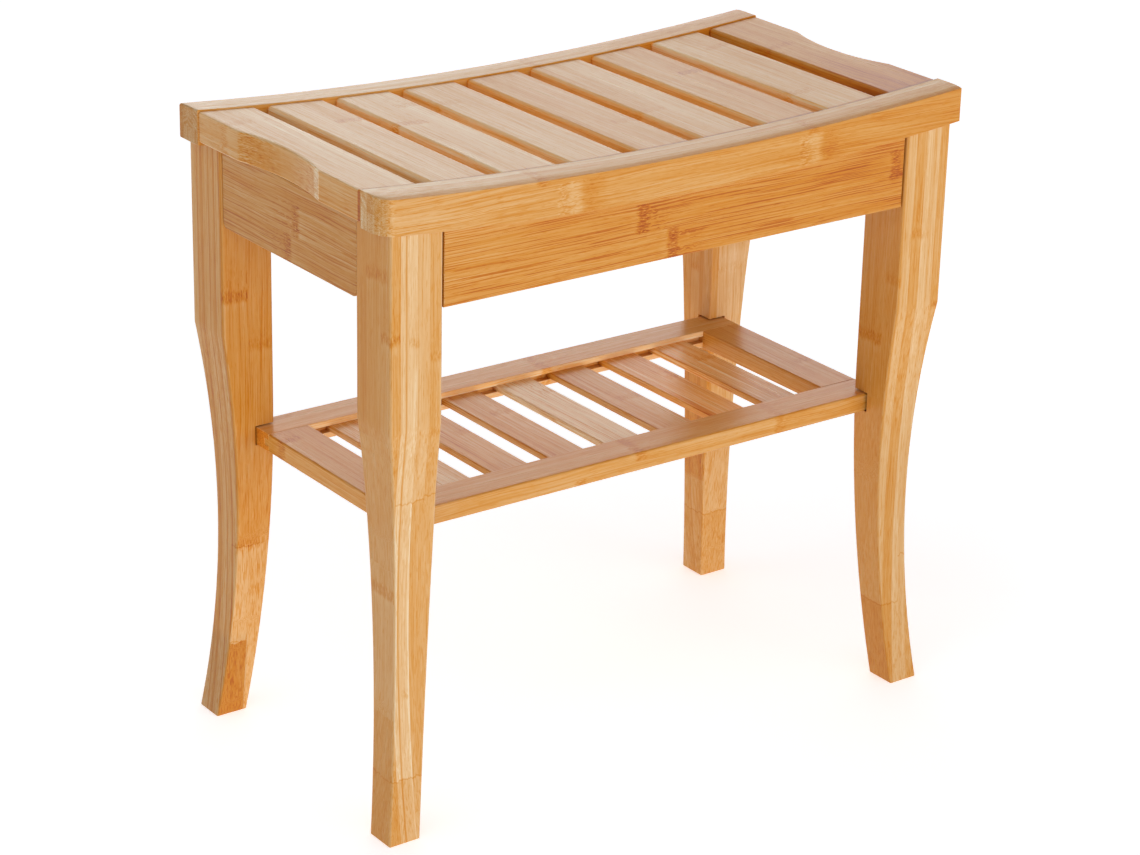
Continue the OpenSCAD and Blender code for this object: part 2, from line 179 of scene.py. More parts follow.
def bamboo(name, grain, layers, strips=None, spots=(), joints=(), seed=0.0, fine=0.50, streak=0.34, fleck=0.10,
           lines=0.15, along=None, arris=0.10, side=0.0, rough=0.30, ior=1.3, end=0.16, figure=0.0, patches=(),
           blocks=0.0, shade=(), painted_edge_light=0.0, wave=6.0, grainy=0.012, sides=(), painted_light_zones=(), painted_light_ramp=None):
    """Laminated bamboo as a solid texture. grain names the axes of (along the grain, across a strip, across the
    layers); layers and strips are tone bands in mm on the last two; spots are knuckles (where along, from, to across
    the strip, from, to across the layers, strength, kind); joints are butt joints (where along, the same ranges, tone
    added before it). patches are spliced lengths on the broad faces of the layers (along from, to, across from, to,
    tone, amount). arris lightens the rounded edges, partly as paler sanded edges and partly as painted light. side
    adds tone on the faces across the strips; on the inner seat slats it is negative, a painted lightening of their
    sides in the gaps. end darkens the end grain, and blocks tells the end grain's layers apart. figure draws the loops
    of a cut through the layers. shade gives the faces along an axis a gain, painted light and shade by face
    direction, and painted_edge_light is a painted highlight on the rounded edges; wave is how far the fibres wander,
    grainy how short they are. sides are lengths (from, to, tone added) on the faces across the strips.
    painted_light_zones are boxes of painted light and shade (x from, to, y from, to, z from, to, tone added, gain,
    softness along z). painted_light_ramp is painted light, a gain that changes along the grain (from, to, gain there,
    gain there)."""
    t = Tree(name)
    nt = t.nt
    co = nt.nodes.new("ShaderNodeTexCoord")
    sep = nt.nodes.new("ShaderNodeSeparateXYZ")
    nt.links.new(co.outputs["Object"], sep.inputs[0])
    nsep = nt.nodes.new("ShaderNodeSeparateXYZ")
    nt.links.new(co.outputs["Normal"], nsep.inputs[0])
    at = {"X": 0, "Y": 1, "Z": 2}
    a, b, c = (t.mul(sep.outputs[at[g]], 1000.0) for g in grain)
    na = t.math("ABSOLUTE", nsep.outputs[at[grain[0]]])
    nb = t.math("ABSOLUTE", nsep.outputs[at[grain[1]]])
    nc = t.math("ABSOLUTE", nsep.outputs[at[grain[2]]])

    # slow wander of the fibres
    wander = t.noise(t.xyz(t.mul(a, 0.010), t.mul(b, 0.03), t.add(t.mul(c, 0.03), seed)), 1.0, 1.0)
    ws = nt.nodes.new("ShaderNodeSeparateColor")
    nt.links.new(wander.outputs["Color"], ws.inputs[0])
    bw = t.add(b, t.mul(t.sub(ws.outputs[0], 0.5), wave))
    cw = t.add(c, t.mul(t.sub(ws.outputs[1], 0.5), 2.0))
    edge = t.noise(t.xyz(t.mul(a, 0.03), t.mul(b, 0.45), t.add(t.mul(c, 0.2), seed)), 1.0, 2.0, 0.6)
    cl = t.add(c, t.add(t.mul(t.sub(ws.outputs[2], 0.5), 0.6), t.mul(t.sub(edge.outputs["Fac"], 0.5), 0.7)))

    tone = t.bands(cl, layers)
    cell = t.mul(tone, 61.0)
    if strips:
        st = t.bands(b, [(p, q, 0.5 + u, 0.5 + v) for p, q, u, v in strips])
        tone = t.add(tone, t.sub(st, 0.5))
        cell = t.add(cell, t.mul(st, 173.0))
    cell = t.add(cell, seed)
    if patches:
        pn = t.noise(t.xyz(t.mul(b, 0.14), t.mul(c, 0.14), seed + 9.0), 1.0, 3.0, 0.65)
        aw = t.add(a, t.mul(t.sub(pn.outputs["Fac"], 0.5), 9.0))
        broad = t.span(nc, 0.55, 0.80)
        for a0, a1, b0, b1, to, k in patches:
            pm = t.mul(t.mul(t.within(aw, a0, a1, 0.35), t.within(b, b0, b1, 0.35)), t.mul(broad, k))
            tone = t.add(tone, t.mul(t.sub(to, tone), pm))
            cell = t.add(cell, t.mul(pm, 5.0 + 0.1 * a0))

    # knuckles: pale or orange-brown bands of short ragged strokes, with crossing fibres after them
    if spots:
        wob = t.noise(t.xyz(t.mul(b, 0.22), t.mul(c, 0.22), seed + 3.0), 1.0, 2.0, 0.6)
        jag = t.noise(t.xyz(t.mul(b, 0.85), t.mul(c, 0.85), seed + 5.0), 1.0, 2.0, 0.7)
        wobble = t.add(t.mul(t.sub(wob.outputs["Fac"], 0.5), 9.0), t.mul(t.sub(jag.outputs["Fac"], 0.5), 8.0))
        dot = t.noise(t.xyz(t.mul(a, 0.26), t.mul(b, 1.35), t.add(t.mul(c, 1.35), seed)), 1.0, 2.0, 0.6)
        dots = t.span(dot.outputs["Fac"], 0.40, 0.62)
        chips = t.span(dot.outputs["Fac"], 0.44, 0.34)
        bend = near = None
        for spot in spots:
            a0, b0, b1, c0, c1, k = spot[:6]
            kind = spot[6] if len(spot) > 6 else "dark"
            d = t.add(t.sub(a, a0), wobble)
            m = t.within(b, b0, b1)
            if c0 is not None:
                m = t.mul(m, t.within(cl, c0, c1))
            if kind == "pale":
                band = t.mul(t.span(d, -1.6, 1.0), t.span(d, 14.0, 24.0, 1.0, 0.0))
                dotted = t.mul(t.mul(t.span(d, -1.0, 2.5), t.span(d, 5.0, 12.0, 1.0, 0.0)), dots)
                flame = t.mul(t.span(d, 16.0, 24.0), t.span(d, 26.0, 44.0, 1.0, 0.0))
                add = t.add(t.add(t.mul(band, -0.10 * k), t.mul(dotted, 0.24 * k)), t.mul(flame, 0.12 * k))
                w = t.mul(t.mul(t.add(band, flame), m), 2.6 * k)
            else:
                wide = 3.6 if kind == "dark" else 2.2
                band = t.mul(t.span(d, -wide - 2.6, -wide + 1.6), t.span(d, wide - 1.6, wide + 3.0, 1.0, 0.0))
                flame = t.mul(t.span(d, 1.0, 7.0), t.span(d, 8.0, 34.0, 1.0, 0.0))
                pale = t.mul(t.span(d, -14.0, -6.0), t.span(d, -6.0, -3.0, 1.0, 0.0))
                mark = t.mul(band, t.add(t.sub(t.mul(dots, 0.30 * k), t.mul(chips, 0.16 * k)), 0.11 * k))
                add = t.add(mark, t.add(t.mul(flame, 0.06 * k), t.mul(pale, -0.05 * k)))
                w = t.mul(t.mul(t.add(band, flame), m), 2.6 * k)
            add = t.mul(add, m)
            near = add if near is None else t.add(near, add)
            bend = w if bend is None else t.add(bend, w)
        ripple = t.noise(t.xyz(t.mul(a, 0.16), t.mul(b, 0.20), t.mul(c, 0.20)), 1.0, 1.0)
        shake = t.mul(t.sub(ripple.outputs["Fac"], 0.5), bend)
        bw, cw = t.add(bw, shake), t.add(cw, shake)
        tone = t.add(tone, near)

    # fibres, thin dark lines, broad streaks, slow mottling and vessel flecks
    f1 = t.noise(t.xyz(t.add(t.mul(a, grainy), cell), t.mul(bw, 0.74), t.mul(cw, 0.74)), 1.0, 3.0, 0.66)
    f2 = t.noise(t.xyz(t.add(t.mul(a, 0.006), cell), t.mul(bw, 0.17), t.mul(cw, 0.17)), 1.0, 2.0, 0.5)
    f5 = t.noise(t.xyz(t.add(t.mul(a, 0.013), cell), t.mul(bw, 1.15), t.mul(cw, 1.15)), 1.0, 0.0)
    f4 = t.noise(t.xyz(t.add(t.mul(a, 0.12), cell), t.mul(bw, 1.3), t.mul(cw, 1.3)), 1.0, 1.0)
    thin = t.span(f5.outputs["Fac"], 0.56, 0.68)
    flecks = t.span(f4.outputs["Fac"], 0.56, 0.68)
    cut = t.span(na, 0.03, 0.30)
    ends = t.span(na, 0.70, 0.92)
    tone = t.add(tone, t.mul(t.mul(t.sub(f1.outputs["Fac"], 0.5), fine), t.sub(1.0, t.mul(ends, 0.65))))
    tone = t.add(tone, t.mul(t.sub(f2.outputs["Fac"], 0.5), streak))
    tone = t.add(tone, t.mul(t.sub(thin, 0.25), lines))
    tone = t.add(tone, t.mul(t.sub(flecks, 0.25), t.add(t.mul(cut, 0.12), fleck)))

    # where the surface runs across the grain
    grit = t.noise(t.xyz(t.mul(a, 0.5), t.mul(b, 0.95), t.add(t.mul(c, 0.95), seed)), 1.0, 2.0, 0.6)
    tone = t.add(tone, t.mul(t.sub(grit.outputs["Fac"], 0.5), t.mul(t.add(cut, ends), 0.32)))
    tone = t.add(tone, t.mul(ends, end))
    if blocks:
        lot = t.noise(t.xyz(t.mul(cell, 0.83), 0.3, 0.7), 1.0, 0.0)
        tone = t.add(tone, t.mul(t.mul(t.sub(lot.outputs["Fac"], 0.5), ends), blocks))
    if figure:
        loops = t.noise(t.xyz(t.mul(a, 0.06), t.mul(b, 0.11), t.mul(c, 0.30)), 1.0, 2.0, 0.5)
        ring = t.math("SINE", t.add(t.mul(c, 4.2), t.mul(loops.outputs["Fac"], 24.0)))
        tone = t.add(tone, t.mul(t.mul(ring, cut), figure))

    for a0, b0, b1, c0, c1, dt in joints:
        jw = t.noise(t.xyz(t.mul(b, 0.16), t.mul(c, 0.16), seed + a0), 1.0, 3.0, 0.7)
        d = t.add(t.sub(a, a0), t.mul(t.sub(jw.outputs["Fac"], 0.5), 9.0))
        m = t.within(b, b0, b1)
        if c0 is not None:
            m = t.mul(m, t.within(cl, c0, c1))
        below = t.span(d, -0.3, 0.3, dt, 0.0)
        line = t.span(t.math("ABSOLUTE", d), 0.3, 0.9, 0.16, 0.0)
        tone = t.add(tone, t.mul(t.add(below, line), m))
    for a0, a1, dt in sides:
        tone = t.add(tone, t.mul(t.mul(t.within(a, a0, a1, 2.5), t.span(nb, 0.5, 0.8)), dt))
    if along:
        tone = t.add(tone, t.sub(t.bands(a, [(p, q, 0.5 + u, 0.5 + v) for p, q, u, v in along]), 0.5))
    atn = nt.nodes.new("ShaderNodeAttribute")
    atn.attribute_type = "GEOMETRY"
    atn.attribute_name = "arris"
    # rounded edges: their paler sanded tone, and painted light on them
    edge_wear_and_light = t.mul(atn.outputs["Fac"], t.add(t.mul(f2.outputs["Fac"], 0.8), 0.6))
    tone = t.sub(tone, t.mul(edge_wear_and_light, arris))
    # tone on the faces across the strips; negative on the inner seat slats, a painted lightening of their sides in the
    # gaps
    if side:
        tone = t.add(tone, t.mul(t.span(nb, 0.35, 0.85), side))
    # painted light and shade in boxes: tone and gain, darker in the shelf notches and along the seat slats' joint,
    # lighter on some parts of the legs and darker on others
    mm = dict(zip(grain, (a, b, c)))
    boxes = []
    for x0, x1, y0, y1, z0, z1, dt, g, sz in painted_light_zones:
        m = t.mul(t.mul(t.within(mm["X"], x0, x1, 0.3), t.within(mm["Y"], y0, y1, 0.3)), t.within(mm["Z"], z0, z1, sz))
        tone = t.add(tone, t.mul(m, dt))
        boxes.append(t.mul(m, g - 1.0))
    col = t.ramp(t.math("MINIMUM", t.math("MAXIMUM", tone, 0.0), 1.0), TONES, True)
    bsdf = nt.nodes.new("ShaderNodeBsdfPrincipled")
    # painted light and shade: gains on the base colour by face direction, on the rounded edges, in boxes and along the
    # grain
    gain = None
    for axis, g in shade:
        turn = t.span(t.math("ABSOLUTE", nsep.outputs[at[axis]]), 0.22, 0.70, 0.0, g - 1.0)
        gain = turn if gain is None else t.add(gain, turn)
    # painted highlight: a gain on the rounded edges
    if painted_edge_light:
        edge_light_gain = t.mul(edge_wear_and_light, painted_edge_light)
        gain = edge_light_gain if gain is None else t.add(gain, edge_light_gain)
    for m in boxes:
        gain = m if gain is None else t.add(gain, m)
    # painted light: a gain that changes along the grain
    if painted_light_ramp:
        m = t.span(a, painted_light_ramp[0], painted_light_ramp[1], painted_light_ramp[2] - 1.0, painted_light_ramp[3] - 1.0)
        gain = m if gain is None else t.add(gain, m)
    if gain is not None:
        sc = nt.nodes.new("ShaderNodeVectorMath")
        sc.operation = "SCALE"
        nt.links.new(col, sc.inputs[0])
        # no channel above 0.92: red is always the highest, and the hue stays
        top = nt.nodes.new("ShaderNodeSeparateColor")
        nt.links.new(col, top.inputs[0])
        most = t.math("DIVIDE", 0.92, top.outputs[0])
        nt.links.new(t.math("MINIMUM", t.add(gain, 1.0), most), sc.inputs["Scale"])
        col = sc.outputs[0]
    nt.links.new(col, bsdf.inputs["Base Color"])
    r = t.add(t.mul(t.sub(f2.outputs["Fac"], 0.5), 0.16), t.add(t.mul(flecks, 0.05), t.add(t.mul(ends, 0.12), rough)))
    nt.links.new(r, bsdf.inputs["Roughness"])
    bsdf.inputs["IOR"].default_value = ior
    bump = nt.nodes.new("ShaderNodeBump")
    bump.inputs["Strength"].default_value = 0.4
    bump.inputs["Distance"].default_value = 0.00012
    h = t.sub(f1.outputs["Fac"], t.add(t.mul(flecks, 0.4), t.mul(thin, 0.3)))
    nt.links.new(h, bump.inputs["Height"])
    nt.links.new(bump.outputs[0], bsdf.inputs["Normal"])
    out = nt.nodes.new("ShaderNodeOutputMaterial")
    nt.links.new(bsdf.outputs[0], out.inputs[0])
    return t.mat


def metal(name, color, rough, seed, brushed):
    """Plated or machined metal with fine turning marks and faint blotches."""
    t = Tree(name)
    nt = t.nt
    co = nt.nodes.new("ShaderNodeTexCoord")
    sep = nt.nodes.new("ShaderNodeSeparateXYZ")
    nt.links.new(co.outputs["Object"], sep.inputs[0])
    x, y, z = (t.mul(s, 1000.0) for s in sep.outputs)
    blot = t.noise(t.xyz(t.mul(x, 0.3), t.mul(y, 0.3), t.add(t.mul(z, 0.3), seed)), 1.0, 4.0, 0.6)
    fine = t.noise(t.xyz(t.mul(x, brushed), t.mul(y, brushed), t.mul(z, 6.0)), 1.0, 2.0)
    f = t.add(t.mul(blot.outputs["Fac"], 0.7), t.mul(fine.outputs["Fac"], 0.3))
    dark = tuple(v * 0.72 for v in color)
    col = t.ramp(f, [(0.3, dark), (0.7, color)], True)
    bsdf = nt.nodes.new("ShaderNodeBsdfPrincipled")
    nt.links.new(col, bsdf.inputs["Base Color"])
    bsdf.inputs["Metallic"].default_value = 1.0
    nt.links.new(t.add(t.mul(t.sub(f, 0.5), 0.3), rough), bsdf.inputs["Roughness"])
    bump = nt.nodes.new("ShaderNodeBump")
    bump.inputs["Strength"].default_value = 0.3
    bump.inputs["Distance"].default_value = 0.00005
    nt.links.new(fine.outputs["Fac"], bump.inputs["Height"])
    nt.links.new(bump.outputs[0], bsdf.inputs["Normal"])
    out = nt.nodes.new("ShaderNodeOutputMaterial")
    nt.links.new(bsdf.outputs[0], out.inputs[0])
    return t.mat


# ---------------------------------------------------------------- mesh code
MARK = [bpy.data.materials.new("mark_a"), bpy.data.materials.new("mark_b")]


def piece(name, verts, faces, soft, mat, node, seg=3):
    """A closed piece with rounded arrises. soft gives each rounded edge's radius in mm, by its two vertices. The
    corners on the rounding carry the attribute arris, for the material."""
    me = bpy.data.meshes.new(name)
    me.from_pydata([(x * MM, y * MM, z * MM) for x, y, z in verts], [], faces)
    import bmesh
    bm = bmesh.new()
    bm.from_mesh(me)
    bmesh.ops.recalc_face_normals(bm, faces=bm.faces)
    bm.to_mesh(me)
    bm.free()
    for m in MARK:
        me.materials.append(m)
    widest = max(soft.values())
    at = me.attributes.new("bevel_weight_edge", "FLOAT", "EDGE")
    for e in me.edges:
        at.data[e.index].value = soft.get((min(e.vertices), max(e.vertices)), 0.0) / widest
    ob = bpy.data.objects.new(name, me)
    scene.collection.objects.link(ob)
    bv = ob.modifiers.new("round", "BEVEL")
    bv.limit_method, bv.width, bv.segments, bv.material = "WEIGHT", widest * MM, seg, 1
    bv.use_clamp_overlap, bv.miter_outer = True, "MITER_SHARP"
    dg = bpy.context.evaluated_depsgraph_get()
    new = bpy.data.meshes.new_from_object(ob.evaluated_get(dg), preserve_all_data_layers=True, depsgraph=dg)
    ob.modifiers.clear()
    flat_verts = set()
    for p in new.polygons:
        if p.material_index == 0:
            flat_verts.update(p.vertices)
    ar = new.attributes.new("arris", "FLOAT", "CORNER")
    for p in new.polygons:
        on = p.material_index == 1
        for li in p.loop_indices:
            v = new.loops[li].vertex_index
            ar.data[li].value = 0.0 if not on else (0.25 if v in flat_verts else 1.0)
    new.materials.clear()
    new.materials.append(mat)
    for p in new.polygons:
        p.material_index = 0
        p.use_smooth = True
    # edges that stay hard
    bm = bmesh.new()
    bm.from_mesh(new)
    hard = [e.index for e in bm.edges if len(e.link_faces) == 2 and e.calc_face_angle(0.0) > math.radians(34)]
    bm.free()
    sh = new.attributes.get("sharp_edge") or new.attributes.new("sharp_edge", "BOOLEAN", "EDGE")
    for i in hard:
        sh.data[i].value = True
    ob.data = new
    new.name = name
    bpy.data.meshes.remove(me)
    wn = ob.modifiers.new("normals", "WEIGHTED_NORMAL")
    wn.keep_sharp = True
    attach(ob, "root")
    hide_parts(node)
    return ob


def loft(rings, long_soft, start_soft, end_soft, closed=True):
    """Vertices, faces and rounded edges of a bar through rings of equal length. long_soft is one radius for each
    lengthways edge, start_soft and end_soft one for each edge of the two ends."""
    n = len(rings[0])
    verts = [p for r in rings for p in r]
    faces, soft = [], {}
    for k in range(len(rings) - 1):
        for j in range(n):
            i0, i1 = k * n + j, k * n + (j + 1) % n
            faces.append((i0, i1, i1 + n, i0 + n))
            if long_soft[j]:
                soft[(i0, i0 + n)] = long_soft[j]
    faces.append(tuple(range(n)))
    last = (len(rings) - 1) * n
    faces.append(tuple(last + j for j in range(n)))
    for j in range(n):
        a, b = j, (j + 1) % n
        if start_soft[j]:
            soft[(min(a, b), max(a, b))] = start_soft[j]
        if end_soft[j]:
            soft[(last + min(a, b), last + max(a, b))] = end_soft[j]
    return verts, faces, soft


# ---------------------------------------------------------------- seat rails
def rail(name, s, mat):
    xs = []
    if s < 0:
        n = 14
        for k in range(n):
            f = math.radians(90 * k / n)
            xs.append((-HL + CR * (1 - math.cos(f)), CR * (1 - math.sin(f))))
        xs += [(-HL + CR + (2 * HL - CR) * k / 44, 0.0) for k in range(45)]
    else:
        xs = [(-HL + 2 * HL * k / 46, 0.0) for k in range(47)]
    rings = []
    for x, cut in xs:
        yo, yi = s * (HD - cut), s * YI
        zt, zu = top_z(x), under_z(x)
        # the crown stays short of the inner edge where the corner is cut deepest
        fit = min(1.0, 0.9 * (abs(yo) - YI) / 14.0)
        crown = [(x, yo - s * w * fit, zt - d) for w, d in ((0.0, 1.15), (3.0, 0.58), (6.0, 0.22), (10.0, 0.04), (14.0, 0.0))]
        rings.append(crown + [(x, yi, zt), (x, yi, zu), (x, yo, zu)])
    # the outer top edge is rounded, and the top falls away softly towards it
    top = (1.4,) * 5
    left = top + (0.8, 1.0, 0.0) if s < 0 else top + (0.8, 1.0, 1.2)
    v, f, so = loft(rings, (2.2, 0.0, 0.0, 0.0, 0.0, 0.7, 0.8, 1.5), left, top + (0.8, 1.0, 1.2))
    return piece(name, v, f, so, mat, name, 4)


# painted shade: the end faces darker by a gain, and a darker line along the inner top edge where the slats meet the
# rail
m = bamboo("bamboo_rail_front", "XZY",
           [(-131.6, -126.5, 0.43, 0.40), (-126.5, -120.5, 0.30, 0.27), (-120.5, -113.5, 0.34, 0.36), (-113.5, -106.5, 0.14, 0.18), (-106.5, -105.0, 0.42, 0.46)],
           strips=[(436.0, 462.0, 0.0, 0.0), (462.0, 476.0, 0.05, 0.02)],
           along=[(-250, -60, -0.08, 0.0), (-60, 60, 0.0, 0.02), (60, 250, 0.02, 0.08)],
           spots=[(-110, 436, 462, None, None, 1.0, "pale"), (99, 436, 462, None, None, 1.0, "pale"),
                  (-122, 462, 476, None, None, 0.6), (111, 462, 476, None, None, 0.5)], seed=1.7, arris=0.06, blocks=0.45, end=0.14, shade=[("X", 0.81)],
           painted_light_zones=[(-249.0, 249.0, -106.4, -104.0, 400.0, 500.0, 0.10, 0.62, 0.5)])
rail("front_seat_rail", -1, m)
# painted light and shade: the front and back faces lighter and the end faces darker by gains
m = bamboo("bamboo_rail_back", "XZY",
           [(105.0, 106.1, 0.50, 0.46), (106.1, 112.0, 0.22, 0.18), (112.0, 119.0, 0.30, 0.26), (119.0, 126.0, 0.25, 0.30), (126.0, 131.6, 0.38, 0.40)],
           strips=[(436.0, 460.0, 0.0, 0.0), (460.0, 476.0, -0.03, 0.03)], along=[(-250, -40, -0.04, 0.0), (-40, 250, 0.0, 0.24)],
           spots=[(-60, 436, 460, None, None, 1.0, "pale"), (160, 436, 460, None, None, 1.0, "pale"),
                  (40, 460, 476, None, None, 0.6)], seed=4.1, arris=0.06, shade=[("Y", 1.12), ("X", 0.71)], blocks=0.45, end=0.20)
rail("back_seat_rail", 1, m)


# ---------------------------------------------------------------- seat slats
def slat_frame(i):
    x = (i - 5) * PITCH
    a = math.atan(2 * TDIP * x / HL ** 2)
    return x, top_z(x) - DROP, a


def inner_slat(i, mat):
    x0, z0, a = slat_frame(i)
    w = SW / 2

    def at(u, v, y):
        return (x0 + u * math.cos(a) - v * math.sin(a), y, z0 + u * math.sin(a) + v * math.cos(a))

    rings = []
    for k in range(9):
        y = -YI + 2 * YI * k / 8
        rings.append([at(-w, 0, y), at(w, 0, y), at(w, -ST, y), at(-w, -ST, y)])
    v, f, so = loft(rings, (3.0, 3.0, 0.9, 0.9), (0.5,) * 4, (0.5,) * 4)
    return piece("seat_slat_%d" % i, v, f, so, mat, "seat_slat_%d" % i, 4)


def end_slat(i, mat):
    s = -1 if i == 1 else 1
    x0, z0, a = slat_frame(9)
    w, xo = SW / 2, HL - 0.8
    gr = ((GRIP_L / 2) ** 2 + GRIP_D ** 2) / (2 * GRIP_D)

    def top(x):
        return z0 + (x - x0) * math.tan(a)

    drop = EST / math.cos(a)
    xi, zi = x0 - w * math.cos(a), z0 - w * math.sin(a)
    xb, zb = xi + EST * math.sin(a), zi - EST * math.cos(a)
    g = GRIP_L / 2
    ys = [-YI, -92.0, -79.0, -66.0] + [-g + 2 * g * k / 30 for k in range(31)] + [66.0, 79.0, 92.0, YI]
    rings = []
    for y in ys:
        d = 0.0
        if abs(y) < g - 1e-6:
            d = math.sqrt(gr * gr - y * y) - (gr - GRIP_D)
        x = xo - d
        ring = [(xi, y, zi), (x, y, top(x)), (x, y, top(x) - drop), (xb, y, zb)]
        rings.append([(s * p[0], p[1], p[2]) for p in ring])
    v, f, so = loft(rings, (3.0, 1.3, 1.2, 0.9), (0.5, 0.5, 0.5, 0.5), (0.5, 0.5, 0.5, 0.5))
    for k, y in enumerate(ys):
        if abs(abs(y) - g) < 1e-6:
            so[(k * 4 + 1, k * 4 + 2)] = 0.8 if y < 0 else 0.0
        if k + 1 < len(ys):
            m_ = abs(y + ys[k + 1]) / 2
            so[(k * 4 + 1, k * 4 + 5)] = 2.8 if m_ < 36 else (2.8 - 1.5 * (m_ - 36) / 17 if m_ < g else 1.3)
    return piece("seat_slat_%d" % i, v, f, so, mat, "seat_slat_%d" % i, 4)


SLAT = {1: 0.22, 2: 0.26, 3: 0.22, 4: 0.28, 5: 0.36, 6: 0.30, 7: 0.42, 8: 0.30, 9: 0.50}
SLAT_STRIP = {1: (0.03, -0.04), 2: (-0.02, 0.03), 3: (0.03, -0.03), 4: (-0.02, 0.02), 5: (0.03, -0.01),
              6: (0.03, -0.04), 7: (-0.03, 0.03), 8: (-0.04, 0.03), 9: (0.02, -0.03)}
SLAT_KNOT = {1: [(70, 0, .5)], 2: [(50, 1, 1.0)], 3: [(27, 0, 1.0), (68, 1, .8)], 4: [(60, 0, .4)],
             5: [(-40, 1, .5)], 6: [(-30, 0, .5)], 7: [(28, 1, 1.0)], 8: [(66, 1, .5), (-60, 0, .5)], 9: [(35, 0, .4)]}
for i in range(1, 10):
    xc = (i - 5) * PITCH
    cut = xc + (2.0 if i % 2 else -1.5)
    u, w_ = SLAT_STRIP[i]
    b = SLAT[i]
    strips = [(xc - 26, cut, u, u), (cut, xc + 26, w_, w_)]
    spots = []
    for y, side, k in SLAT_KNOT[i]:
        lo, hi = (xc - 26, cut) if side == 0 else (cut, xc + 26)
        spots.append((y, lo, hi, None, None, k))
    lay = [(440.0, 455.5, b + 0.12, b + 0.04), (455.5, 463.0, b + 0.06, b + 0.06), (463.0, 475.5, b + 0.03, b)]
    tips = [(-106.0, -101.6, 0.55, 0.48), (-101.6, 104.3, 0.0, 0.0), (104.3, 106.0, 0.32, 0.40)]
    if i == 9:
        tips = [(-106.0, -101.6, 0.55, 0.48), (-101.6, 15.0, 0.28, 0.0), (15.0, 104.3, 0.0, 0.0), (104.3, 106.0, 0.32, 0.40)]
    # painted light and shade on the seat slats: the faces along X darker on slat 1 and lighter on the inner slats,
    # whose sides stand in the gaps; the rounded edges paler, partly sanded and partly a painted highlight; on slat 1
    # the paler length by the grip's -Y end is partly sanding and partly a painted highlight
    m = bamboo("bamboo_slat_%d" % i, "YXZ", lay, strips=strips, spots=spots, along=tips, seed=10.0 + 3.3 * i, fine=0.66,
               arris={1: 0.14, 9: 0.0}.get(i, 0.08), side=0.0 if i in (1, 9) else -0.04, figure=0.16 if i in (1, 9) else 0.0,
               shade=[("X", {1: 0.86, 9: 1.0}.get(i, 1.22))], painted_edge_light={1: 0.12, 9: 0.04}.get(i, 0.18),
               sides={1: [(8, 51, 0.22), (-52, -44, -0.14), (-44, 8, 0.15), (51, 106, 0.07), (-106, -52, 0.11)]}.get(i, ()))
    (end_slat if i in (1, 9) else inner_slat)(i, m)


# ---------------------------------------------------------------- aprons
def long_apron(name, s, mat):
    ay = LY - ASET
    x1 = LXI - AGAP
    rings = []
    for k in range(17):
        x = -x1 + 2 * x1 * k / 16
        rings.append([(x, s * ay, under_z(x)), (x, s * (ay - AT), under_z(x)), (x, s * (ay - AT), AZ), (x, s * ay, AZ)])
    v, f, so = loft(rings, (0.0, 0.0, 1.0, 1.2), (0.0, 0.5, 0.6, 0.9), (0.0, 0.5, 0.6, 0.9))
    return piece(name, v, f, so, mat, name)


def end_apron(name, s, mat):
    ax, y1, r = LX - ASET, LYI - 1.0, 5.0
    x9 = 4 * PITCH
    a9 = math.atan(2 * TDIP * x9 / HL ** 2)

    def under(x):
        return top_z(x9) - DROP + (x - x9) * math.tan(a9) - EST / math.cos(a9) - 0.15

    zt = 0.0
    out = [(-y1, zt)]
    out += [(-y1 + r - r * math.cos(math.radians(9 * k)), EAZ + r - r * math.sin(math.radians(9 * k))) for k in range(11)]
    out += [(y1 - r + r * math.sin(math.radians(9 * k)), EAZ + r - r * math.cos(math.radians(9 * k))) for k in range(11)]
    out += [(y1, zt)]
    rings = [[(s * x, y, z or under(x)) for y, z in out] for x in (ax, ax - AT)]
    n = len(out)
    long_soft = [0.0] * n
    long_soft[0] = long_soft[-1] = 0.6
    v, f, so = loft(rings, long_soft, (0.9,) * n, (0.7,) * n)
    return piece(name, v, f, so, mat, name)


m = bamboo("bamboo_apron_front", "XZY", [(-130.0, -122.5, 0.56, 0.52), (-122.5, -115.0, 0.36, 0.46)],
           strips=[(390.0, 413.2, 0.0, 0.0), (413.2, 434.5, 0.03, 0.03), (434.5, 450.0, -0.02, 0.0)],
           along=[(-201, -40, -0.05, 0.0), (-40, 201, 0.0, 0.07)],
           spots=[(-37, 413.2, 434.5, None, None, 1.0), (-10, 390, 413.2, None, None, 1.0), (192, 413.2, 436, None, None, 0.7)],
           seed=21.0, fine=0.66, lines=0.30, streak=0.28, wave=2.5, grainy=0.008)
long_apron("front_apron", -1, m)
m = bamboo("bamboo_apron_back", "XZY", [(115.0, 122.5, 0.44, 0.36), (122.5, 130.0, 0.44, 0.48)],
           strips=[(390.0, 412.0, 0.0, 0.0), (412.0, 433.0, -0.04, -0.04), (433.0, 450.0, 0.02, 0.0)],
           spots=[(85, 412, 433, None, None, 1.2), (-120, 390, 412, None, None, 1.2)], seed=27.0)
long_apron("back_apron", 1, m)
